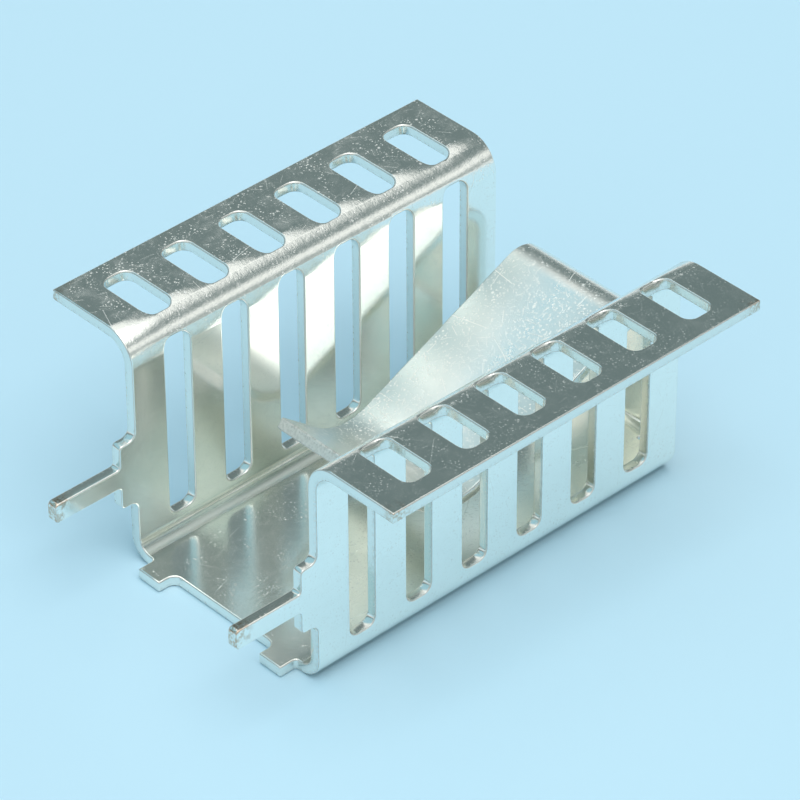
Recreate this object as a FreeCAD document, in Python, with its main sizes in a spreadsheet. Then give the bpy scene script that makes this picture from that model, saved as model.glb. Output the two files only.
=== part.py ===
# Transistor heat sink, pressed and folded from one strip of tin-plated sheet.
# Millimetres. X runs along the channel with the solder pins towards -X, Y runs across it and Z is up.
# The origin is on the underside of the base, halfway along the walls and midway between them.
import FreeCAD, Part
import math
import os
from types import SimpleNamespace

import Sketcher

# Driving dimensions: name, value in millimetres, degrees or a count, and what it measures.
DIMENSIONS = [
    ("sheet_thickness", 0.6, "thickness of the sheet"),
    ("channel_width", 13.3, "across the outer faces of the two walls"),
    ("channel_height", 13.0, "underside of the base to top of the flanges"),
    ("wall_length", 23.6, "length of walls and flanges"),
    ("flange_span", 23.5, "across the outer edges of the two flanges"),
    ("base_bend_radius", 0.7, "inner radius of the bends between base and walls"),
    ("flange_bend_radius", 1.1, "inner radius of the bends between walls and flanges"),
    ("slot_count", 6, "slots in each wall and in each flange"),
    ("slot_pitch", 3.6, "spacing of the slots along the channel"),
    ("wall_slot_width", 1.6, "width of a wall slot"),
    ("wall_slot_floor", 1.65, "height of the lower end of a wall slot"),
    ("wall_slot_corner", 0.5, "corner radius of a wall slot"),
    ("wall_slot_end_angle", 22, "how far round the upper bend a wall slot runs, in degrees"),
    ("flange_slot_width", 1.7, "width of a flange slot"),
    ("flange_slot_margin", 1.12, "flange slot to outer edge of the flange"),
    ("flange_slot_corner", 0.55, "corner radius of a flange slot"),
    ("flange_slot_end_angle", 67, "how far round the upper bend a flange slot starts, in degrees"),
    ("clip_width", 8.1, "width of the spring clip"),
    ("riser_setback", 0.1, "flat base between the far ends of the walls and the bend of the clip's riser"),
    ("riser_bend_radius", 0.6, "inner radius of the bend between base and riser"),
    ("crest_height", 8.18, "top of the clip's crest"),
    ("crest_radius", 1.1, "inner radius of the crest"),
    ("tongue_slope", 24.3, "fall of the tongue towards the pins, in degrees"),
    ("tongue_length", 10.55, "flat length of the tongue"),
    ("valley_radius", 3.15, "upper radius of the bend that presses on the transistor"),
    ("lip_slope", 38.7, "rise of the lip, in degrees"),
    ("lip_length", 2.8, "flat length of the lip"),
    ("stand_off", 1.0, "feet and shoulders beyond the near ends of base and walls"),
    ("step_fillet", 0.45, "radius in the corners beside shoulders and on the inner side of feet"),
    ("relief_fillet", 0.2, "radius at the roots of the pins and on the outer side of feet"),
    ("foot_offset", 4.3, "middle of a foot from the centre line"),
    ("foot_width", 1.5, "width of a foot"),
    ("shoulder_width", 3.7, "width of a shoulder up the wall"),
    ("shoulder_corner", 0.25, "radius on the outer corners of a shoulder"),
    ("pin_height", 5.4, "height of the middle of pin and shoulder"),
    ("pin_width", 1.1, "width of a solder pin"),
    ("pin_length", 4.0, "solder pin beyond its shoulder"),
    ("pin_tip_corner", 0.25, "radius on the corners of a pin's tip"),
]

# The points of a line or an arc are numbered up from 1 and the two axes down from -1.
# The origin is the starting point of the horizontal axis.
START, END, CENTRE = range(1, 4)
HORIZONTAL_AXIS, VERTICAL_AXIS = range(-1, -3, -1)
ORIGIN = (HORIZONTAL_AXIS, START)

# How far the root of a foot or a pin runs past the fillet beside it, in radii of that fillet.
ROOT_REACH = 1.5


class Size:
    """A length, angle or count with its present value and the expression that drives it."""

    def __init__(self, value, text):
        self.value = value
        self.text = text

    def joined(self, sign, other, value):
        return Size(value, "(%s %s %s)" % (self.text, sign, other.text))

    def __add__(self, other):
        return self.joined("+", sized(other), self.value + sized(other).value)

    def __sub__(self, other):
        return self.joined("-", sized(other), self.value - sized(other).value)

    def __mul__(self, other):
        return self.joined("*", sized(other), self.value * sized(other).value)

    def __truediv__(self, other):
        return self.joined("/", sized(other), self.value / sized(other).value)

    def __neg__(self):
        return self * -1


def sized(number):
    """Give a plain number the form of a size."""
    return number if isinstance(number, Size) else Size(number, str(number))


def make_sheet(doc):
    """Put the driving dimensions into a spreadsheet and return them as sizes bound to its cells."""
    sheet = doc.addObject("Spreadsheet::Sheet", "Dimensions")
    sizes = {}
    for row, (name, value, meaning) in enumerate(DIMENSIONS, start=1):
        cell = "B%d" % row
        sheet.set("A%d" % row, meaning)
        sheet.set(cell, str(value))
        sheet.setAlias(cell, name)
        sizes[name] = Size(value, "Dimensions." + name)
    doc.recompute()
    return SimpleNamespace(**sizes)


def origin_feature(role):
    """Return the body's own origin plane or axis that has this role."""
    return next(feature for feature in body.Origin.OriginFeatures if feature.Role == role)


def bind(item, path, size):
    """Let a property of an object follow a size."""
    item.setExpression(path, size.text)


def add_sketch(name, plane):
    """Add a sketch on one of the body's origin planes."""
    sketch = body.newObject("Sketcher::SketchObject", name)
    sketch.AttachmentSupport = (origin_feature(plane), [""])
    sketch.MapMode = "FlatFace"
    return sketch


def drive(sketch, name, kind, references, size):
    """Add a named dimension to a sketch and let it follow a size."""
    value = math.radians(size.value) if kind == "Angle" else size.value
    index = sketch.addConstraint(Sketcher.Constraint(kind, *references, value))
    sketch.renameConstraint(index, name)
    bind(sketch, "Constraints." + name, size)


def relate(sketch, kind, *references):
    """Add a geometric relation to a sketch."""
    sketch.addConstraint(Sketcher.Constraint(kind, *references))


def add_line(sketch, start, end):
    return sketch.addGeometry(Part.LineSegment(start, end), False)


def add_arc(sketch, centre, start, end):
    """Add the arc that runs anticlockwise about centre from start to end."""
    circle = Part.Circle(centre, FreeCAD.Vector(0, 0, 1), (start - centre).Length)
    first = math.atan2(start.y - centre.y, start.x - centre.x)
    last = math.atan2(end.y - centre.y, end.x - centre.x)
    return sketch.addGeometry(Part.ArcOfCircle(circle, first, last), False)


def left_normal(direction):
    return FreeCAD.Vector(-direction.y, direction.x, 0)


class Corner:
    """A corner of an outline with its rounding: where the arc starts and ends, its centre and its turn."""

    def __init__(self, before, point, after, radius):
        into = (point - before).normalize()
        out = (after - point).normalize()
        self.left = into.cross(out).z > 0
        turn = into.getAngle(out)
        self.start = point - into * radius * math.tan(turn / 2)
        self.end = point + out * radius * math.tan(turn / 2)
        self.centre = self.start + left_normal(into) * (radius if self.left else -radius)

    def draw(self, sketch, into_line, out_line):
        """Add the arc between two lines and make it tangent to both. Returns the arc."""
        if self.left:
            arc = add_arc(sketch, self.centre, self.start, self.end)
        else:
            arc = add_arc(sketch, self.centre, self.end, self.start)
        relate(sketch, "Tangent", into_line, END, arc, START if self.left else END)
        relate(sketch, "Tangent", arc, END if self.left else START, out_line, START)
        return arc


def add_outline(sketch, corners):
    """Draw a closed outline of upright and level sides.

    Each corner is (x, y, radius), all sizes, with a radius of None where the corner is sharp.
    """
    points = [FreeCAD.Vector(x.value, y.value, 0) for x, y, radius in corners]
    count = len(corners)
    rounds = [radius and Corner(points[i - 1], points[i], points[(i + 1) % count], radius.value)
              for i, (x, y, radius) in enumerate(corners)]
    sides = []
    for i in range(count):
        following = (i + 1) % count
        start = rounds[i].end if rounds[i] else points[i]
        end = rounds[following].start if rounds[following] else points[following]
        sides.append(add_line(sketch, start, end))
    for i, (x, y, radius) in enumerate(corners):
        into_side, side = sides[i - 1], sides[i]
        if radius:
            arc = rounds[i].draw(sketch, into_side, side)
            drive(sketch, "corner_%d" % i, "Radius", (arc,), radius)
        else:
            relate(sketch, "Coincident", into_side, END, side, START)
        if abs(points[i].x - points[(i + 1) % count].x) < abs(points[i].y - points[(i + 1) % count].y):
            relate(sketch, "Vertical", side)
            drive(sketch, "side_%d" % i, "DistanceX", ORIGIN + (side, START), x)
        else:
            relate(sketch, "Horizontal", side)
            drive(sketch, "side_%d" % i, "DistanceY", ORIGIN + (side, START), y)


def add_strip(sketch, corners, radii):
    """Draw the two skins and the two cut ends of a folded strip of sheet.

    corners are the sharp corners of the right-hand skin, as starting points for the solver, and radii
    the inner radii of the bends. Returns the legs and the bends of the right-hand skin, and the first
    leg of the left-hand skin.
    """
    thickness = sizes.sheet_thickness
    legs = {}
    bends = {}
    for skin in ("right", "left"):
        shift = thickness.value if skin == "left" else 0
        points = skin_corners(corners, shift)
        rounds = []
        for i, radius in enumerate(radii, start=1):
            turns_left = Corner(points[i - 1], points[i], points[i + 1], 1).left
            inner = turns_left == (skin == "left")
            skin_radius = radius if inner else radius + thickness
            rounds.append((Corner(points[i - 1], points[i], points[i + 1], skin_radius.value), skin_radius))
        starts = [points[0]] + [corner.end for corner, radius in rounds]
        ends = [corner.start for corner, radius in rounds] + [points[-1]]
        legs[skin] = [add_line(sketch, start, end) for start, end in zip(starts, ends)]
        bends[skin] = []
        for i, (corner, radius) in enumerate(rounds):
            arc = corner.draw(sketch, legs[skin][i], legs[skin][i + 1])
            drive(sketch, "%s_bend_%d" % (skin, i), "Radius", (arc,), radius)
            bends[skin].append(arc)
    for right_bend, left_bend in zip(bends["right"], bends["left"]):
        relate(sketch, "Coincident", right_bend, CENTRE, left_bend, CENTRE)
    for leg, point in ((0, START), (-1, END)):
        right_leg, left_leg = legs["right"][leg], legs["left"][leg]
        cut_end = add_line(sketch, sketch.getPoint(right_leg, point), sketch.getPoint(left_leg, point))
        relate(sketch, "Coincident", cut_end, START, right_leg, point)
        relate(sketch, "Coincident", cut_end, END, left_leg, point)
        relate(sketch, "Perpendicular", cut_end, right_leg)
        relate(sketch, "Perpendicular", cut_end, left_leg)
    return legs["right"], bends["right"], legs["left"][0]


def skin_corners(corners, shift):
    """Move a chain of corners sideways to the left, so that each leg is shift away from where it was."""
    directions = [(b - a).normalize() for a, b in zip(corners, corners[1:])]
    moved = [corners[0] + left_normal(directions[0]) * shift]
    for corner, into, out in zip(corners[1:], directions, directions[1:]):
        bisector = (left_normal(into) + left_normal(out)).normalize()
        moved.append(corner + bisector * (shift / bisector.dot(left_normal(into))))
    moved.append(corners[-1] + left_normal(directions[-1]) * shift)
    return moved


def add_feature(kind, name, profile, **sizes_by_property):
    """Add a pad or a pocket of a sketch, with its lengths bound to sizes."""
    feature = body.newObject("PartDesign::" + kind, name)
    feature.Profile = profile
    for path, size in sizes_by_property.items():
        bind(feature, path, size)
    return feature


def add_channel():
    """The folded channel with its two flanges: one section, as long as the walls."""
    sketch = add_sketch("ChannelSection", "YZ_Plane")
    wall = sizes.channel_width.value / 2
    edge = sizes.flange_span.value / 2
    underside = sizes.channel_height.value - sizes.sheet_thickness.value
    right_half = [(-edge, underside), (-wall, underside), (-wall, 0)]
    left_half = [(-y, z) for y, z in reversed(right_half)]
    corners = [FreeCAD.Vector(y, z, 0) for y, z in right_half + left_half]
    right_radii = [sizes.flange_bend_radius, sizes.base_bend_radius]
    radii = right_radii + right_radii[::-1]
    legs, bends, flange_top = add_strip(sketch, corners, radii)
    flange, wall_skin, base, far_wall_skin, far_flange = legs
    relate(sketch, "Horizontal", flange)
    relate(sketch, "Horizontal", far_flange)
    relate(sketch, "Vertical", wall_skin)
    relate(sketch, "Vertical", far_wall_skin)
    relate(sketch, "Symmetric", base, START, base, END, VERTICAL_AXIS)
    relate(sketch, "Symmetric", flange, START, far_flange, END, VERTICAL_AXIS)
    relate(sketch, "PointOnObject", base, START, HORIZONTAL_AXIS)
    walls_apart = (wall_skin, START, far_wall_skin, START)
    drive(sketch, "channel_width", "DistanceX", walls_apart, sizes.channel_width)
    edges_apart = (flange, START, far_flange, END)
    drive(sketch, "flange_span", "DistanceX", edges_apart, sizes.flange_span)
    drive(sketch, "channel_height", "DistanceY", ORIGIN + (flange_top, START), sizes.channel_height)
    channel = add_feature("Pad", "Channel", sketch, Length=sizes.wall_length)
    channel.SideType = "Symmetric"


def slot_corners(width, corner, round_end, square_end):
    """The first slot of a row, rounded at one end and square at the other."""
    middle = -(sizes.slot_count - 1) * sizes.slot_pitch / 2
    low, high = middle - width / 2, middle + width / 2
    return [(low, round_end, corner), (low, square_end, None),
            (high, square_end, None), (high, round_end, corner)]


def upper_bend(side):
    """Where the axis of the upper bend on one side lies: its Y and its Z."""
    outer_radius = sizes.flange_bend_radius + sizes.sheet_thickness
    across = (sizes.channel_width / 2 + sizes.flange_bend_radius) * side
    return across, sizes.channel_height - outer_radius


def add_slot_end(name, side, angle, width, corner, towards_flange):
    """Cut a slot's end in the upper bend, square to the sheet where it stops."""
    across, height = upper_bend(side)
    sketch = add_sketch(name + "Outline", "XY_Plane")
    tilt = (angle - 90) * -side
    axis_place = FreeCAD.Vector(0, across.value, height.value)
    turn = FreeCAD.Rotation(FreeCAD.Vector(1, 0, 0), tilt.value)
    sketch.AttachmentOffset = FreeCAD.Placement(axis_place, turn)
    bind(sketch, "AttachmentOffset.Base.y", across)
    bind(sketch, "AttachmentOffset.Base.z", height)
    bind(sketch, "AttachmentOffset.Rotation.Angle", tilt)
    reach = sizes.flange_bend_radius + sizes.sheet_thickness
    square_end = reach * (side if towards_flange else -side)
    add_outline(sketch, slot_corners(width, corner, sized(0), square_end))
    slot_end = add_feature("Pocket", name, sketch, Length=reach + sizes.sheet_thickness)
    slot_end.Reversed = True
    return slot_end


def add_slots():
    """Both rows of slots on each side: the first of each row is cut, and the rows are patterned."""
    side_names = {-1: "Right", 1: "Left"}
    across, bend_height = upper_bend(1)
    sketch = add_sketch("WallSlotOutline", "XZ_Plane")
    add_outline(sketch, slot_corners(sizes.wall_slot_width, sizes.wall_slot_corner,
                                     sizes.wall_slot_floor, bend_height))
    wall_slots = add_feature("Pocket", "WallSlots", sketch)
    wall_slots.Type = "ThroughAll"
    wall_slots.SideType = "Symmetric"
    cuts = [wall_slots]
    slot_edge = sizes.flange_span / 2 - sizes.flange_slot_margin
    for side, side_name in side_names.items():
        sketch = add_sketch("FlangeSlotOutline" + side_name, "XY_Plane")
        bind(sketch, "AttachmentOffset.Base.z", sizes.channel_height)
        add_outline(sketch, slot_corners(sizes.flange_slot_width, sizes.flange_slot_corner,
                                         slot_edge * side, across * side))
        depth = sizes.sheet_thickness * 2
        cuts.append(add_feature("Pocket", "FlangeSlot" + side_name, sketch, Length=depth))
        cuts.append(add_slot_end("WallSlotEnd" + side_name, side, sizes.wall_slot_end_angle,
                                 sizes.wall_slot_width, sizes.wall_slot_corner, False))
        cuts.append(add_slot_end("FlangeSlotEnd" + side_name, side, sizes.flange_slot_end_angle,
                                 sizes.flange_slot_width, sizes.flange_slot_corner, True))
    rows = body.newObject("PartDesign::LinearPattern", "SlotRows")
    rows.Originals = cuts
    rows.Direction = (origin_feature("X_Axis"), [""])
    bind(rows, "Length", (sizes.slot_count - 1) * sizes.slot_pitch)
    bind(rows, "Occurrences", sizes.slot_count)
    body.Tip = rows


def add_clip():
    """The spring clip: out of the base's far end, up, over its crest, down the tongue and up the lip."""
    sketch = add_sketch("ClipSection", "XZ_Plane")
    bend = sizes.riser_bend_radius + sizes.sheet_thickness
    riser = sizes.wall_length / 2 + sizes.riser_setback + bend
    crest_centre = sizes.crest_height - sizes.crest_radius - sizes.sheet_thickness
    slope = math.radians(sizes.tongue_slope.value)
    rise = math.radians(sizes.lip_slope.value)
    crest_outside = sizes.crest_radius + sizes.sheet_thickness
    crest_reach = crest_outside.value * math.tan((math.radians(90) + slope) / 2)
    valley_reach = sizes.valley_radius.value * math.tan((slope + rise) / 2)
    tongue = crest_reach + sizes.tongue_length.value + valley_reach
    lip = valley_reach + sizes.lip_length.value
    crest = FreeCAD.Vector(riser.value, crest_centre.value + crest_reach, 0)
    valley = crest + FreeCAD.Vector(-math.cos(slope), -math.sin(slope), 0) * tongue
    tip = valley + FreeCAD.Vector(-math.cos(rise), math.sin(rise), 0) * lip
    corners = [FreeCAD.Vector(0, 0, 0), FreeCAD.Vector(riser.value, 0, 0), crest, valley, tip]
    radii = [sizes.riser_bend_radius, sizes.crest_radius, sizes.valley_radius]
    legs, bends, base_top = add_strip(sketch, corners, radii)
    base_skin, riser_skin, tongue_skin, lip_skin = legs
    relate(sketch, "Coincident", base_skin, START, *ORIGIN)
    relate(sketch, "Horizontal", base_skin)
    relate(sketch, "Vertical", riser_skin)
    drive(sketch, "riser", "DistanceX", ORIGIN + (riser_skin, START), riser)
    drive(sketch, "crest_centre", "DistanceY", ORIGIN + (bends[1], CENTRE), crest_centre)
    drive(sketch, "tongue_slope", "Angle", (tongue_skin,), sizes.tongue_slope - 180)
    drive(sketch, "tongue_length", "Distance", (tongue_skin,), sizes.tongue_length)
    drive(sketch, "lip_slope", "Angle", (lip_skin,), -(sizes.lip_slope - 180))
    drive(sketch, "lip_length", "Distance", (lip_skin,), sizes.lip_length)
    clip = add_feature("Pad", "SpringClip", sketch, Length=sizes.clip_width)
    clip.SideType = "Symmetric"


def add_foot():
    """The stand-off foot in the plane of the base, on the right-hand side."""
    sketch = add_sketch("FootOutline", "XY_Plane")
    end = -sizes.wall_length / 2
    tip = end - sizes.stand_off
    inner = sizes.foot_width / 2 - sizes.foot_offset
    outer = -sizes.foot_width / 2 - sizes.foot_offset
    inner_root = inner + sizes.step_fillet * ROOT_REACH
    outer_root = outer - sizes.relief_fillet * ROOT_REACH
    inside = end + sizes.sheet_thickness
    add_outline(sketch, [
        (inside, outer_root, None), (inside, inner_root, None), (end, inner_root, None),
        (end, inner, sizes.step_fillet), (tip, inner, None), (tip, outer, None),
        (end, outer, sizes.relief_fillet), (end, outer_root, None)])
    return add_feature("Pad", "Foot", sketch, Length=sizes.sheet_thickness)


def add_pin():
    """The shoulder and the solder pin in the plane of the right-hand wall."""
    sketch = add_sketch("PinOutline", "XZ_Plane")
    bind(sketch, "AttachmentOffset.Base.z", sizes.channel_width / 2 - sizes.sheet_thickness)
    end = -sizes.wall_length / 2
    shoulder = end - sizes.stand_off
    tip = shoulder - sizes.pin_length
    inside = end + sizes.sheet_thickness
    root = sizes.shoulder_width / 2 + sizes.step_fillet * ROOT_REACH
    half_outline = [
        (inside, root, None), (end, root, None), (end, sizes.shoulder_width / 2, sizes.step_fillet),
        (shoulder, sizes.shoulder_width / 2, sizes.shoulder_corner),
        (shoulder, sizes.pin_width / 2, sizes.relief_fillet),
        (tip, sizes.pin_width / 2, sizes.pin_tip_corner)]
    upper = [(x, sizes.pin_height + reach, radius) for x, reach, radius in half_outline]
    lower = [(x, sizes.pin_height - reach, radius) for x, reach, radius in half_outline]
    add_outline(sketch, upper + lower[::-1])
    return add_feature("Pad", "Pin", sketch, Length=sizes.sheet_thickness)


def mirror_across(features):
    """Repeat features on the other side of the channel."""
    mirrored = body.newObject("PartDesign::Mirrored", "LeftHandSide")
    mirrored.Originals = features
    mirrored.MirrorPlane = (origin_feature("XZ_Plane"), [""])
    body.Tip = mirrored


def check(doc):
    """Stop if any object failed or the heat sink isn't one sound solid."""
    for item in doc.Objects:
        if "Invalid" in item.State or "Error" in item.State:
            raise RuntimeError("%s failed: %s" % (item.Label, item.State))
    shape = body.Shape
    if shape.isNull() or not shape.isValid() or len(shape.Solids) != 1:
        raise RuntimeError("the heat sink isn't one valid solid")


doc = FreeCAD.newDocument("TransistorHeatSink")
sizes = make_sheet(doc)
body = doc.addObject("PartDesign::Body", "HeatSink")
body.Label = "heat_sink"
add_channel()
add_slots()
add_clip()
mirror_across([add_foot(), add_pin()])
doc.recompute()
check(doc)
os.makedirs("parts", exist_ok=True)
body.Shape.exportStep("parts/%s.step" % body.Label)
print("%s: %.1f mm3, %s" % (body.Label, body.Shape.Volume, body.Shape.BoundBox))
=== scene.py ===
# %% [markdown]
# # A folded heat sink in tin plate
#
# This lesson dresses one small real part for a photograph: a heat sink that was pressed out of thin
# tinned sheet, slotted, and folded into a channel with two flanges, a spring clip and two solder pins.
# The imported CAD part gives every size. What is left to make is what the eye reads as metal: the
# softly rounded edges that a press leaves, smooth bends, the bright plating with its scratches and
# pits, and the studio round it, because a mirror finish shows nothing but its surroundings.

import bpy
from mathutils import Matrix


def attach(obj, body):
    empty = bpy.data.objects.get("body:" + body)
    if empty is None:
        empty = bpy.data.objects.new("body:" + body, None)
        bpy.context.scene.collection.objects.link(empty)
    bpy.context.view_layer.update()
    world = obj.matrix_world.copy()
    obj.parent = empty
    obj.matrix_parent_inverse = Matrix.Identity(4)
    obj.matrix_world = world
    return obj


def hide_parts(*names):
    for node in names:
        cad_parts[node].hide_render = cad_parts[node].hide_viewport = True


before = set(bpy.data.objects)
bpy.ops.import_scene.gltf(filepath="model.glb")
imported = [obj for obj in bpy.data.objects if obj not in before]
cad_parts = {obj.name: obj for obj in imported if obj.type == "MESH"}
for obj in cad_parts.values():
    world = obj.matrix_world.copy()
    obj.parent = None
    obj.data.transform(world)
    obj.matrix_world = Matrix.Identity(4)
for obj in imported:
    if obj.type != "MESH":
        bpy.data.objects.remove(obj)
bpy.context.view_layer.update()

# %% [markdown]
# ## Made flat, then folded
#
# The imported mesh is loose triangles, fine for measuring but too coarse for a mirror: every long
# triangle would show as a kink in the reflections. The sheet is therefore made again the way the
# real one is, as a flat blank that is pressed out, slotted and then folded. On the flat, every edge
# can be rounded cleanly, and only the folding itself needs a little geometry. Here are the tools for
# the flat work: select one piece, add a block of sheet, and add or cut away another block.

# %% Tools for the flat work
import bpy
import math
from mathutils import Quaternion, Vector

MM = 0.001
SHEET = 0.6 * MM


def select_only(piece):
    """Deselect everything, then make this piece the selected and active one."""
    bpy.ops.object.select_all(action="DESELECT")
    piece.select_set(True)
    bpy.context.view_layer.objects.active = piece


def block(name, along, out, thickness=SHEET):
    """A block of sheet between two distances along the strip and two out from its centre line."""
    bpy.ops.object.select_all(action="DESELECT")
    middle = (sum(along) / 2 * MM, sum(out) / 2 * MM, 0)
    size = ((along[1] - along[0]) * MM, (out[1] - out[0]) * MM, thickness)
    bpy.ops.mesh.primitive_cube_add(size=1, location=middle, scale=size)
    bpy.ops.object.transform_apply(location=True, rotation=True, scale=True)
    bpy.context.object.name = name
    return bpy.context.object


def combine(piece, other, operation):
    """Add another block to this piece, or cut it away, and delete the other block."""
    select_only(piece)
    step = piece.modifiers.new(operation, "BOOLEAN")
    step.operation = operation
    step.object = other
    bpy.ops.object.modifier_apply(modifier=step.name)
    bpy.data.objects.remove(other)


def finish_with(piece, kind, **settings):
    """Add a modifier with these settings and apply it."""
    select_only(piece)
    step = piece.modifiers.new(kind, kind)
    for name, value in settings.items():
        setattr(step, name, value)
    bpy.ops.object.modifier_apply(modifier=step.name)


# %% [markdown]
# ## How the sheet folds
#
# A fold keeps the length of the sheet's middle layer, so both the section and the clip can be
# written as a walk: so far straight on, then round a bend of this radius by so many degrees. The
# walk says how long each stretch of the blank is, and later where each point of it ends up. The
# section is walked from the middle of the base outwards, and the clip from where it leaves the base.

# %% The two walks
HALF_SHEET = 0.3
SECTION = [(5.35, 0, 0), (0, 1.0, 90), (10.0, 0, 0), (0, 1.4, -90), (4.0, 0, 0)]
CLIP = [(0, 0.9, 90), (5.28, 0, 0), (0, 1.4, 114.3), (10.55, 0, 0), (0, 3.45, -63.0), (2.8, 0, 0)]
CLIP_ROOT = 11.9


def stretch(step):
    """Length of the middle layer over one step of a walk: a straight run or a bend."""
    run, radius, turn = step
    return run + radius * math.radians(abs(turn))


def starts(walk):
    """Where each step of a walk starts on the flat blank, and where the walk ends."""
    places = [0]
    for step in walk:
        places.append(places[-1] + stretch(step))
    return places


section_starts = starts(SECTION)
clip_starts = [CLIP_ROOT + place for place in starts(CLIP)]
print("half the blank is", round(section_starts[-1], 2), "mm wide")
print("the clip ends", round(clip_starts[-1], 2), "mm from the middle")

# %% [markdown]
# ## The outline of the blank
#
# The blank is a plate for base, walls and flanges, with a long tongue for the clip at one end and
# feet, shoulders and pins at the other. Each is a block of sheet, and Boolean modifiers join them.
# The tabs of one side are made first and mirrored. Sizes are in millimetres on the flat blank, along
# the strip from the middle of the walls and out from the centre line.

# %% Outline
WALL_END = 11.8
TAB_END = 12.8
PIN_END = 16.8
HALF_CLIP = 4.05
FOOT = (3.55, 5.05)
wall_start = section_starts[2]
WALL_START_HEIGHT = 1.3
PIN_HEIGHT = 5.4
pin_middle = wall_start + PIN_HEIGHT - WALL_START_HEIGHT
SHOULDER = (pin_middle - 1.85, pin_middle + 1.85)
PIN = (pin_middle - 0.55, pin_middle + 0.55)
OVERLAP = 1

sheet = block("folded_sheet", (-WALL_END, WALL_END), (-section_starts[-1], section_starts[-1]))
clip = block("clip", (WALL_END - OVERLAP, clip_starts[-1]), (-HALF_CLIP, HALF_CLIP))
combine(sheet, clip, "UNION")
for name, reach, out in (("foot", TAB_END, FOOT), ("shoulder", TAB_END, SHOULDER), ("pin", PIN_END, PIN)):
    tab = block(name, (-reach, -WALL_END + OVERLAP), out)
    finish_with(tab, "MIRROR", use_axis=(False, True, False))
    combine(sheet, tab, "UNION")
print("outline:", len(sheet.data.polygons), "faces")

# %% [markdown]
# ## Rounded corners of the tabs
#
# A punch has small radii, so each corner of a foot, shoulder or pin is rounded, inside corners with
# the radii of the real part. The upright edges are found by where they stand on the blank, and the
# Bevel operator turns each into an arc.

# %% Corners of the tabs
import bmesh

ARC_STEPS = 5


def round_corners(piece, corners, radius):
    """Round the upright edges that stand at these places on the blank, on both sides of it."""
    select_only(piece)
    bpy.ops.object.mode_set(mode="EDIT")
    bpy.ops.mesh.select_all(action="DESELECT")
    mesh = bmesh.from_edit_mesh(piece.data)
    mesh.select_mode = {"EDGE"}
    for edge in mesh.edges:
        first, last = (vertex.co / MM for vertex in edge.verts)
        place = (first.x, abs(first.y))
        upright = (first - last).xy.length < 0.001
        edge.select = upright and any(math.dist(place, corner) < 0.01 for corner in corners)
    chosen = sum(edge.select for edge in mesh.edges)
    bmesh.update_edit_mesh(piece.data)
    bpy.ops.mesh.bevel(offset=radius * MM, segments=ARC_STEPS, affect="EDGES")
    bpy.ops.object.mode_set(mode="OBJECT")
    print("rounded", chosen, "corners to", radius, "mm")


round_corners(sheet, [(-WALL_END, SHOULDER[0]), (-WALL_END, SHOULDER[1]), (-WALL_END, FOOT[0])], 0.45)
round_corners(sheet, [(-TAB_END, SHOULDER[0]), (-TAB_END, SHOULDER[1])], 0.25)
round_corners(sheet, [(-TAB_END, PIN[0]), (-TAB_END, PIN[1]), (-WALL_END, FOOT[1])], 0.2)
round_corners(sheet, [(-PIN_END, PIN[0]), (-PIN_END, PIN[1])], 0.25)

# %% [markdown]
# ## Rows of slots
#
# Each wall and each flange has six slots, and both kinds run a little way into the bend between
# them, the wall's over its first 22 degrees and the flange's over its last 23, which leaves a narrow
# web round it. A wall's slots are 1.6 mm wide and a flange's 1.7 mm. One cutter is modelled for each,
# its upright edges are rounded, and Array and Mirror modifiers repeat it before it cuts the sheet.

# %% Slots
SLOTS = 6
PITCH = 3.6
SLOT_HEIGHT = 1.65
SLOT_INTO_FLANGE = 2.88
TOP_RADIUS = SECTION[3][1]
slot_middle = -(SLOTS - 1) * PITCH / 2
top_bend, flange_start = section_starts[3:5]
wall_slot = (wall_start + SLOT_HEIGHT - WALL_START_HEIGHT, top_bend + TOP_RADIUS * math.radians(22))
flange_slot = (top_bend + TOP_RADIUS * math.radians(67), flange_start + SLOT_INTO_FLANGE)
for width, corner, out in ((1.6, 0.5, wall_slot), (1.7, 0.55, flange_slot)):
    along = (slot_middle - width / 2, slot_middle + width / 2)
    cutter = block("slot", along, out, 3 * SHEET)
    round_corners(cutter, [(u, v) for u in along for v in out], corner)
    finish_with(cutter, "ARRAY", count=SLOTS, use_relative_offset=False, use_constant_offset=True,
                constant_offset_displace=(PITCH * MM, 0, 0))
    finish_with(cutter, "MIRROR", use_axis=(False, True, False))
    combine(sheet, cutter, "DIFFERENCE")
print("slotted blank:", len(sheet.data.polygons), "faces")

# %% [markdown]
# ## Edges as the press leaves them
#
# A punch draws the sheet's edge down a little before it shears it, so no edge of a stamping is
# knife-sharp. Those few hundredths of a millimetre catch the light as the thin bright lines that
# outline every slot. Coplanar faces are joined first, and then a Bevel modifier that works on steep
# edges only rounds all the edges at once.

# %% Rounded edges
EDGE_ROUNDING = 0.09 * MM
select_only(sheet)
bpy.ops.object.mode_set(mode="EDIT")
bpy.ops.mesh.select_all(action="SELECT")
bpy.ops.mesh.remove_doubles(threshold=0.001 * MM)
bpy.ops.mesh.dissolve_limited(angle_limit=math.radians(1))
bpy.ops.object.mode_set(mode="OBJECT")
finish_with(sheet, "BEVEL", width=EDGE_ROUNDING, segments=3, limit_method="ANGLE",
            angle_limit=math.radians(50), use_clamp_overlap=False)
print("with rounded edges:", len(sheet.data.polygons), "faces")

# %% [markdown]
# ## Lines to fold along
#
# A flat face can't curve, so each bend is first crossed by fold lines a few degrees apart. The
# Bisect operator draws them, at distances that the two walks give.

# %% Fold lines
FOLD_STEP = 5.0
WIDE_FACE = 0.95


def fold_lines(walk, places):
    """Where the fold lines of a walk's bends cross the blank."""
    lines = []
    for (_, _, turn), start, end in zip(walk, places, places[1:]):
        steps = math.ceil(abs(turn) / FOLD_STEP) if turn else 0
        lines += [start + (end - start) * i / steps for i in range(steps + 1) if steps]
    return lines


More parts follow.
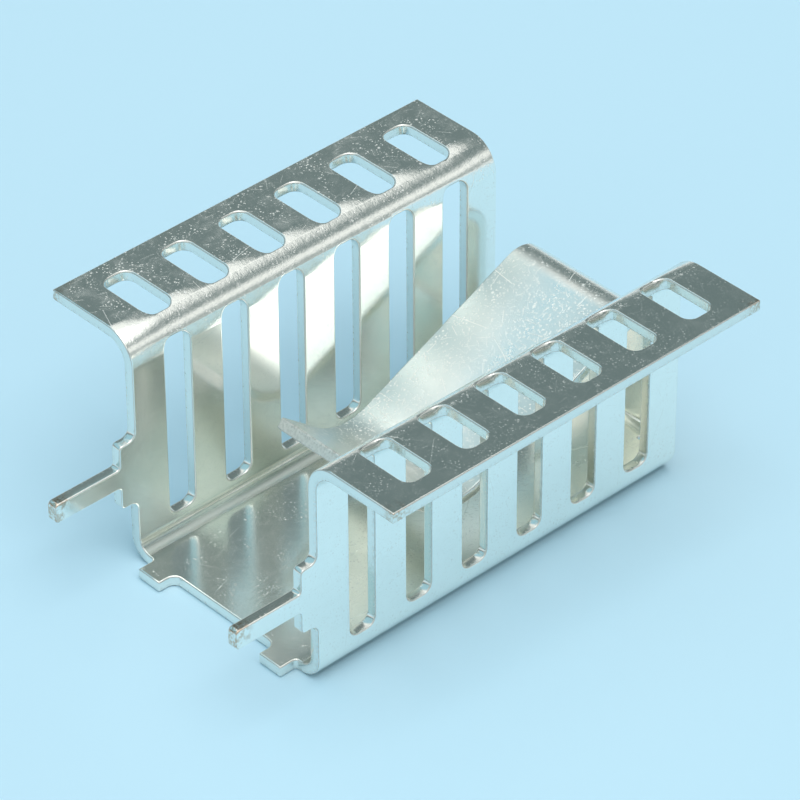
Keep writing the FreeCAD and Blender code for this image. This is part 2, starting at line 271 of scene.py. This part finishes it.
def bisect(at, normal):
    """Cut the mesh that is being edited with a plane, and keep both sides."""
    bpy.ops.mesh.select_all(action="SELECT")
    bpy.ops.mesh.bisect(plane_co=at, plane_no=normal, threshold=0.0001 * MM)


select_only(sheet)
bpy.ops.object.mode_set(mode="EDIT")
for line in fold_lines(SECTION, section_starts):
    bisect((0, line * MM, 0), (0, 1, 0))
    bisect((0, -line * MM, 0), (0, 1, 0))
for line in fold_lines(CLIP, clip_starts):
    bisect((line * MM, 0, 0), (1, 0, 0))
bpy.ops.object.mode_set(mode="OBJECT")
is_cut = [abs(face.normal.z) < WIDE_FACE for face in sheet.data.polygons]
print("ready to fold:", len(is_cut), "faces, of which", sum(is_cut), "are cut edges")

# %% [markdown]
# ## Folding
#
# Each point of the blank is carried to where its walk leads: along the walk by its distance, then
# off the middle layer by its height in the sheet. Scratches and rolling marks were on the sheet
# before it was folded, so every point also keeps its flat place as an attribute, which the finish
# reads. Flat faces stay truly flat if the normals of the wide faces weigh most.

# %% Fold


def off_sheet(heading):
    """The direction straight off the sheet, where a walk goes this way."""
    return Vector((-math.sin(heading), math.cos(heading)))


def walked(walk, distance):
    """The point this far along a walk, in the walk's own plane, and which way the sheet faces there."""
    point = Vector((0, 0))
    heading = 0.0
    for run, radius, turn in walk:
        length = min(max(distance, 0), stretch((run, radius, turn)))
        distance -= length
        if radius:
            side = math.copysign(1, turn)
            centre = point + side * radius * off_sheet(heading)
            heading += side * length / radius
            point = centre - side * radius * off_sheet(heading)
        else:
            point = point + length * Vector((math.cos(heading), math.sin(heading)))
    return point, off_sheet(heading)


def folded(place):
    """Where a point of the flat blank, in millimetres, lies on the folded sheet."""
    along, out, height = place
    walk, distance = (CLIP, along - CLIP_ROOT) if along > CLIP_ROOT else (SECTION, abs(out))
    point, upward = walked(walk, distance)
    point += upward * height
    if along > CLIP_ROOT:
        return Vector((CLIP_ROOT + point.x, out, HALF_SHEET + point.y))
    return Vector((along, math.copysign(point.x, out), HALF_SHEET + point.y))


blank = sheet.data.attributes.new("blank", "FLOAT_VECTOR", "POINT")
for vertex in sheet.data.vertices:
    place = vertex.co / MM
    blank.data[vertex.index].vector = place
    vertex.co = folded(place) * MM
bpy.ops.object.shade_smooth()
finish_with(sheet, "WEIGHTED_NORMAL", weight=80)
axes = list(zip(*(vertex.co for vertex in sheet.data.vertices)))
low = [round(min(axis), 4) for axis in axes]
high = [round(max(axis), 4) for axis in axes]
print("folded sheet, from", low, "to", high)
print("triangles:", sum(len(face.vertices) - 2 for face in sheet.data.polygons))

# %% [markdown]
# ## Shader sums as plain sums
#
# A finish is mostly arithmetic on patterns. So that it can be read as arithmetic, one small class
# wraps a node's output and lets Python's own signs add the Math nodes. Its maker, `Finish`, holds
# one node tree and adds any other kind of node.

# %% A finish and its signals


class Signal:
    """An output of a node, with Python's signs for sums on it."""

    def __init__(self, finish, socket):
        self.finish = finish
        self.socket = socket

    def other(self, output):
        """Another output of the same node."""
        return Signal(self.finish, self.socket.node.outputs[output])

    def reckon(self, operation, *values):
        """A Math node with this operation on these values."""
        return self.finish.node("Math", {"operation": operation}, dict(enumerate(values)))

    def __add__(self, other):
        return self.reckon("ADD", self, other)

    def __sub__(self, other):
        return self.reckon("SUBTRACT", self, other)

    def __rsub__(self, other):
        return self.reckon("SUBTRACT", other, self)

    def __mul__(self, other):
        return self.reckon("MULTIPLY", self, other)

    def __lt__(self, other):
        return self.reckon("LESS_THAN", self, other)

    def __abs__(self):
        return self.reckon("ABSOLUTE", self)

    __radd__ = __add__
    __rmul__ = __mul__


class Finish:
    """One node tree, and a way to add nodes to it."""

    def __init__(self, tree):
        self.tree = tree

    def node(self, kind, settings=None, inputs=None, output=0):
        """Add a node: its settings first, then the values or links of its inputs."""
        made = self.tree.nodes.new("ShaderNode" + kind)
        for name, value in (settings or {}).items():
            setattr(made, name, value)
        for name, value in (inputs or {}).items():
            self.join(made.inputs[name], value)
        return Signal(self, made.outputs[output])

    def join(self, socket, value):
        """Link a signal to a socket, or set the socket to a plain value."""
        if isinstance(value, Signal):
            self.tree.links.new(value.socket, socket)
        else:
            socket.default_value = value

    def split(self, vector):
        """The three parts of a vector."""
        first = self.node("SeparateXYZ", {}, {0: vector})
        return first, first.other(1), first.other(2)

    def ramp(self, signal, low, high):
        """A smooth step from 0 to 1 as the signal goes from low to high."""
        return self.node("MapRange", {"interpolation_type": "SMOOTHSTEP"},
                         {"Value": signal, "From Min": low, "From Max": high})

    def band(self, signal, low, high, soft=0.2):
        """1 while the signal is between low and high, with soft limits."""
        return self.ramp(signal, low - soft, low + soft) * (1 - self.ramp(signal, high - soft, high + soft))

    def noise(self, place, scale, detail, roughness=0.5):
        """Cloudy noise from 0 to 1, with this many clouds to a millimetre."""
        return self.node("TexNoise", {}, {"Vector": place, "Scale": scale, "Detail": detail,
                                          "Roughness": roughness})

    def blend(self, factor, first, second):
        """Mix two colours by a factor."""
        return self.node("Mix", {"data_type": "RGBA"}, {0: factor, 6: first, 7: second}, output=2)

    def relief(self, height):
        """A normal that follows a height in millimetres."""
        return self.node("Bump", {}, {"Height": height, "Distance": MM, "Strength": 1.0})


def new_finish(name):
    """A material with an empty shader, ready for its signals."""
    material = bpy.data.materials.new(name)
    material.use_nodes = True
    shader = material.node_tree.nodes["Principled BSDF"].inputs
    shader["Metallic"].default_value = 1
    return material, Finish(material.node_tree), shader


# %% [markdown]
# ## Scratches and specks
#
# Handling leaves short straight scratches that point every way. A Voronoi texture deals one cell to
# each scratch: the place inside the cell, turned by an angle drawn from the cell's own colour,
# says how far a point is from a line through the middle of the cell, and how far along it lies.
# Specks are simpler, a small distance from the middle of a cell. Both leave many cells bare.

# %% Marks on the plating


def cells(finish, place, size):
    """Deal the surface into cells: the place inside the cell, and three random numbers of it."""
    middle = finish.node("TexVoronoi", {"voronoi_dimensions": "2D"}, {"Vector": place, "Scale": 1 / size},
                         output="Position")
    inside = finish.node("VectorMath", {"operation": "SUBTRACT"}, {0: place, 1: middle})
    x, y, _ = finish.split(inside)
    chance = finish.node("SeparateColor", {}, {0: middle.other("Color")})
    return x, y, (chance, chance.other(1), chance.other(2))


def scratches(finish, place, size, width, share):
    """Straight scratches, one to a cell in this share of the cells, as a mask."""
    x, y, (turn, chance, length) = cells(finish, place, size)
    angle = turn * (2 * math.pi)
    cosine = angle.reckon("COSINE", angle)
    sine = angle.reckon("SINE", angle)
    across = abs(x * sine - y * cosine)
    along = abs(x * cosine + y * sine)
    line = 1 - finish.ramp(across, width * 0.3, width)
    return line * (along < length * (size * 0.6)) * (chance < share)


def specks(finish, place, size, radius, share):
    """Small round specks, one to a cell in this share of the cells, as a mask."""
    x, y, (_, chance, extent) = cells(finish, place, size)
    squares = x * x + y * y
    distance = squares.reckon("SQRT", squares)
    return (1 - finish.ramp(distance, 0.0, extent * radius)) * (chance < share)


def browned(finish, along, out, patchy):
    """Where fingers and the solder bath left a trace of brown: pin tips and the flanges' corners."""
    tips = 1 - finish.ramp(along, 0.4 - PIN_END, 1.3 - PIN_END)
    corners = finish.ramp(out, section_starts[-1] - 0.9, section_starts[-1])
    corners = corners * finish.ramp(abs(along), WALL_END - 1.6, WALL_END)
    return (tips + corners) * patchy


# %% [markdown]
# ## Bright tin on the skins
#
# Reflowed tin is nearly a mirror, a little warm in itself, and faintly clouded where the coat is
# thicker. A slight waviness of the rolled strip bends the reflections, and the bends carry the grain
# that the metal gets when it stretches. The flanges and the clip's tongue are what hands and
# transistors rub, so they have most of the specks and scratches, and the bends have some. The tongue
# is worn to a satin, more so towards its edges, and the flanges are smeared. Painted shade makes the
# tongue's side edges and the right flange a darker blue grey, and the inside of the base bend, which
# is also rougher, a dull olive. The walls are nearly clean.

# %% Colours of the plating
TIN = (0.97, 0.97, 0.92, 1)
CLOUDED_TIN = (0.91, 0.92, 0.87, 1)
# painted shade: a dull olive, much darker than the tin, for the inside of the base bend
CREASE_SHADE_TIN = (0.42, 0.47, 0.44, 1)
# painted shade: a blue grey that darkens the tongue's side edges and the right flange
EDGE_SHADE_TIN = (0.62, 0.70, 0.68, 1)
BROWN = (0.50, 0.33, 0.20, 1)
CUT_TIN = (0.86, 0.86, 0.81, 1)
TORN_TIN = (0.66, 0.67, 0.63, 1)
DRAWN_TIN = (0.50, 0.51, 0.50, 1)
CLEAN_ROUGHNESS = 0.12
print("tin reflects", TIN[:3], "and its dullest part", CREASE_SHADE_TIN[:3])

# %% [markdown]
# ## Regions, marks and sums
#
# The finish first finds out where on the blank a point lies, as masks for base, bends, flanges and
# tongue. It then lays scratches and specks over them, and at the end adds everything up for colour,
# roughness, metal and relief. A mark is a groove whose rough floor scatters light, so it is duller,
# less metallic and a little deeper than the plating round it.

# %% Tin plate
tin, finish, shader = new_finish("tin_plate")
place = finish.node("Attribute", {"attribute_name": "blank"}, {}, output="Vector")
along, out, _ = finish.split(place)
left_side = finish.ramp(out, -1, 1)
out = abs(out)
clouds = finish.noise(place, scale=0.4, detail=3.0)
mottle = finish.noise(place, scale=2.4, detail=5.0, roughness=0.62)
grain = finish.noise(place, scale=6.0, detail=3.0, roughness=0.7)
base_bend = finish.band(out, section_starts[1] + 0.05, section_starts[1] + 0.85, 0.25)
bends = finish.band(out, *section_starts[3:5]) + finish.band(along, *clip_starts[2:4])
base = (1 - finish.ramp(out, 4.8, 5.3)) * (1 - finish.ramp(along, WALL_END, CLIP_ROOT + 0.2))
flange = finish.ramp(out, flange_start - 0.6, flange_start)
crest_end = clip_starts[3]
tongue = finish.ramp(along, crest_end - 1.5, crest_end + 0.5)
tongue_edges = tongue * finish.ramp(out, 0.0, HALF_CLIP + 0.15)

tiny = scratches(finish, place, size=0.24, width=0.026, share=0.6) * (0.15 + tongue * 0.45)
fine = scratches(finish, place, size=0.8, width=0.024, share=0.6) * (0.3 + tongue * 0.6)
long = scratches(finish, place, size=3.1, width=0.03, share=0.5) * (0.5 + tongue * 0.7)
dots = specks(finish, place, size=0.17, radius=0.08, share=0.7)
dots = dots + specks(finish, place, size=0.6, radius=0.12, share=0.5)
crowded = finish.ramp(finish.noise(place, scale=1.0, detail=3.0), 0.38, 0.64) + tongue * 0.5
handled = 0.2 + flange * (0.3 + left_side * 0.6) + tongue + base * 0.3 + bends * 0.4
marks = (tiny + fine + long + dots * crowded) * handled
marks = marks.reckon("MINIMUM", marks, 1.0)
smudged = finish.ramp(finish.noise(place, scale=0.8, detail=6.0, roughness=0.7), 0.45, 0.75)
smears = smudged * flange * (0.4 + left_side * 0.8)

colour = finish.blend(finish.ramp(mottle, 0.4, 0.8) * 0.5, TIN, CLOUDED_TIN)
# painted shade: the inside of the base bend is blended almost fully to the dark olive
colour = finish.blend(base_bend * 0.9, colour, CREASE_SHADE_TIN)
# painted shade: the tongue darker towards its side edges, and the right flange darker than the left
colour = finish.blend(tongue_edges + flange * (1 - left_side) * 0.3, colour, EDGE_SHADE_TIN)
colour = finish.blend(marks * tongue, colour, TIN)
patchy = finish.ramp(mottle, 0.45, 0.62) * 0.6
colour = finish.blend(browned(finish, along, out, patchy), colour, BROWN)
dulled = finish.ramp(mottle, 0.35, 0.75) * 0.03 + smears * 0.1 + base * 0.05 + base_bend * 0.22
dulled = dulled + tongue * 0.15 + tongue_edges * 0.16 + bends * (0.02 + grain * 0.12)
wavy = clouds * 0.006 + mottle * 0.0004 + bends * (grain * 0.006 + mottle * 0.010)
finish.join(shader["Base Color"], colour)
finish.join(shader["Roughness"], CLEAN_ROUGHNESS + dulled + marks * 0.25)
finish.join(shader["Metallic"], 1 - smears * 0.12 - marks * 0.7)
finish.join(shader["Normal"], finish.relief(wavy - marks * 0.005))
print("tin plate:", len(tin.node_tree.nodes), "nodes")

# %% [markdown]
# ## Cut edges
#
# Where the punch goes through, it burnishes the first part of the thickness and tears the rest a
# little, with streaks that run straight through the sheet. Here the tin was laid on afterwards, so
# even the cut faces shine. The streaks read the place on the blank alone, so they go through the
# thickness by themselves, and the height in the sheet tells the burnished band from the torn one.
# The drawn rims are a little darker and duller than the plating, and the end of the clip's lip was
# sheared, not punched, and is dull all over.

# %% Cut edge
cut_edge, finish, shader = new_finish("cut_edge")
place = finish.node("Attribute", {"attribute_name": "blank"}, {}, output="Vector")
along, out, height = finish.split(place)
flat_place = finish.node("CombineXYZ", {}, {0: along, 1: out})
streaks = finish.noise(flat_place, scale=8.0, detail=3.0, roughness=0.6)
crumbs = finish.noise(place, scale=7.0, detail=3.0, roughness=0.6)
torn = 1 - finish.ramp(height + streaks * 0.3, -0.05, 0.15)
rim = finish.ramp(abs(height), HALF_SHEET - 0.09, HALF_SHEET - 0.03)
sheared = finish.ramp(along, clip_starts[-1] - 0.12, clip_starts[-1] - 0.06)
crumbled = (torn + sheared) * finish.ramp(crumbs, 0.4, 0.65)
colour = finish.blend(crumbled * 0.6, CUT_TIN, TORN_TIN)
colour = finish.blend(rim * 0.5, colour, DRAWN_TIN)
patchy = finish.ramp(crumbs, 0.4, 0.6) * 0.7
colour = finish.blend(browned(finish, along, abs(out), patchy), colour, BROWN)
finish.join(shader["Base Color"], colour)
dulled = streaks * 0.08 + crumbled * 0.15 + sheared * 0.25 + rim * 0.22
rugged = streaks * (0.004 + sheared * 0.02) + (torn * 0.5 + sheared) * crumbs * 0.010
finish.join(shader["Roughness"], CLEAN_ROUGHNESS + dulled)
finish.join(shader["Normal"], finish.relief(rugged))
print("cut edge:", len(cut_edge.node_tree.nodes), "nodes")

# %% [markdown]
# ## Plating the sheet
#
# Both finishes lie on one piece: faces that stood steep on the flat blank get the cut edge, and all
# others the tin plate. The piece then rides on the part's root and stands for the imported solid.

# %% Plating the sheet
sheet.data.materials.clear()
sheet.data.materials.append(tin)
sheet.data.materials.append(cut_edge)
for face, cut in zip(sheet.data.polygons, is_cut):
    face.material_index = int(cut)
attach(sheet, "root")
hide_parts("heat_sink")
print("faces with tin plate:", is_cut.count(False), "and with a cut edge:", is_cut.count(True))

# %% [markdown]
# ## The table
#
# The part lies on a plain pale table, six metres wide to fill the view from any side. Its top is a
# hair below the part's underside, so that the two never share a plane.

# %% Table
TABLE_SIZE = 6
TABLE_GAP = 0.02 * MM
TABLE_BLUE = (0.57, 0.82, 0.96, 1)
bpy.ops.object.select_all(action="DESELECT")
bpy.ops.mesh.primitive_plane_add(size=TABLE_SIZE, location=(0, 0, -TABLE_GAP))
table = bpy.context.object
table.name = "table"
table_top, _, shader = new_finish("pale_table_top")
shader["Metallic"].default_value = 0
shader["Base Color"].default_value = TABLE_BLUE
shader["Roughness"].default_value = 0.6
table.data.materials.append(table_top)
print("table colour:", TABLE_BLUE[:3])

# %% [markdown]
# ## A room to mirror
#
# Bright metal shows the room more than itself, so the room is not one flat grey. It has a bright
# ceiling whose left part is dimmer and bluer, grey walls with a pale strip round the horizon, a low
# window on the right, and a dark place where a photographer would stand. The grey walls turn the
# flanges slate grey, the dim part of the ceiling makes the tongue silver, and ceiling and window
# draw the two bright lines along the top bends. Each is a soft step in how far a direction reaches
# along one vector.

# %% Room
PALE = (0.95, 0.99, 0.98, 1)
GREY = (0.16, 0.215, 0.22, 1)
DIM = (0.37, 0.64, 0.76, 1)
SHADE = (0.25, 0.27, 0.27, 1)
UP = (0, 0, 1)
UP_AND_NEAR = (-0.375, 0, 1)
TO_WINDOW = (0.5, -0.866, 0)
TO_LEFT = (-0.5, 0.866, 0)
TO_CAMERA = (-0.682, -0.731, 0)
world = bpy.data.worlds.new("studio")
bpy.context.scene.world = world
world.use_nodes = True
room = Finish(world.node_tree)
direction = room.node("TexCoord", {}, {}, output="Generated")


def reaching(line, low, high):
    """A soft step from 0 to 1 as a direction's reach along this line goes from low to high."""
    reach = room.node("VectorMath", {"operation": "DOT_PRODUCT"}, {0: direction, 1: line}, output="Value")
    return room.ramp(reach, low, high)


ceiling = reaching(UP_AND_NEAR, 0.585, 0.605)
horizon = 1 - reaching(UP, 0.05, 0.20)
window = reaching(UP, 0.24, 0.34) * (1 - reaching(UP, 0.50, 0.58)) * reaching(TO_WINDOW, 0.6, 0.8)
left = reaching(TO_LEFT, 0.40, 0.52) * ceiling
photographer = reaching(TO_CAMERA, 0.85, 0.95) * horizon
bright = ceiling.reckon("MAXIMUM", ceiling, horizon)
bright = bright.reckon("MAXIMUM", bright, window)
walls = room.blend(bright, GREY, PALE)
walls = room.blend(left, walls, DIM)
walls = room.blend(photographer, walls, SHADE)
room.join(world.node_tree.nodes["Background"].inputs["Color"], walls)
print("room:", len(world.node_tree.nodes), "nodes")

# %% [markdown]
# ## A soft lamp
#
# The room alone would light the part from all sides at once and leave it without a shadow. One broad
# soft box, high on the right, gives the table a soft one. It stands where no large face of the part
# mirrors it towards the camera.

# %% Lamp


def soft_box(name, azimuth, elevation, distance, size, radiance):
    """A square lamp of this brightness that faces the part from this direction."""
    lamp = bpy.data.lights.new(name, "AREA")
    lamp.size = size
    lamp.energy = radiance * math.pi * size * size
    level = math.cos(math.radians(elevation))
    towards = Vector((level * math.cos(math.radians(azimuth)), level * math.sin(math.radians(azimuth)),
                      math.sin(math.radians(elevation))))
    box = bpy.data.objects.new(name, lamp)
    box.location = towards * distance
    box.rotation_euler = towards.to_track_quat("Z", "Y").to_euler()
    bpy.context.scene.collection.objects.link(box)


soft_box("soft_box", azimuth=-100, elevation=74, distance=0.7, size=0.48, radiance=2.4)
print("lamp:", round(bpy.data.lights["soft_box"].energy, 2), "watts")

# %% [markdown]
# ## The camera
#
# The view is the photograph's: from high on the near left, through a long lens, so that the part's
# far end is hardly smaller than its near end. Fitting a camera to the photograph gave its place;
# here it is written as an aim point, two angles, a slight roll and a distance.

# %% Camera
AIM = Vector((-0.667, -0.280, 7.298)) * MM
HEADING, FALL, ROLL = (math.radians(angle) for angle in (47.012, 37.019, -0.230))
DISTANCE = 237.35 * MM
FOCAL_LENGTH = 224.68
FILM_WIDTH = 36
looking = Vector((math.cos(FALL) * math.cos(HEADING), math.cos(FALL) * math.sin(HEADING), -math.sin(FALL)))
lens = bpy.data.cameras.new("camera")
lens.lens = FOCAL_LENGTH
lens.sensor_width = FILM_WIDTH
lens.clip_start = 0.01
camera = bpy.data.objects.new("camera", lens)
camera.location = AIM - looking * DISTANCE
camera.rotation_euler = (looking.to_track_quat("-Z", "Y") @ Quaternion((0, 0, 1), ROLL)).to_euler()
bpy.context.scene.collection.objects.link(camera)
bpy.context.scene.camera = camera
print("camera at", [round(c, 4) for c in camera.location])

# %% [markdown]
# ## Picture settings
#
# Light goes to and fro many times between the bright walls before it leaves the channel, and four
# bounces, the usual number, would leave black patches there.

BOUNCES_BETWEEN_WALLS = 12
bpy.context.scene.view_settings.view_transform = "Standard"
bpy.context.scene.cycles.glossy_bounces = BOUNCES_BETWEEN_WALLS
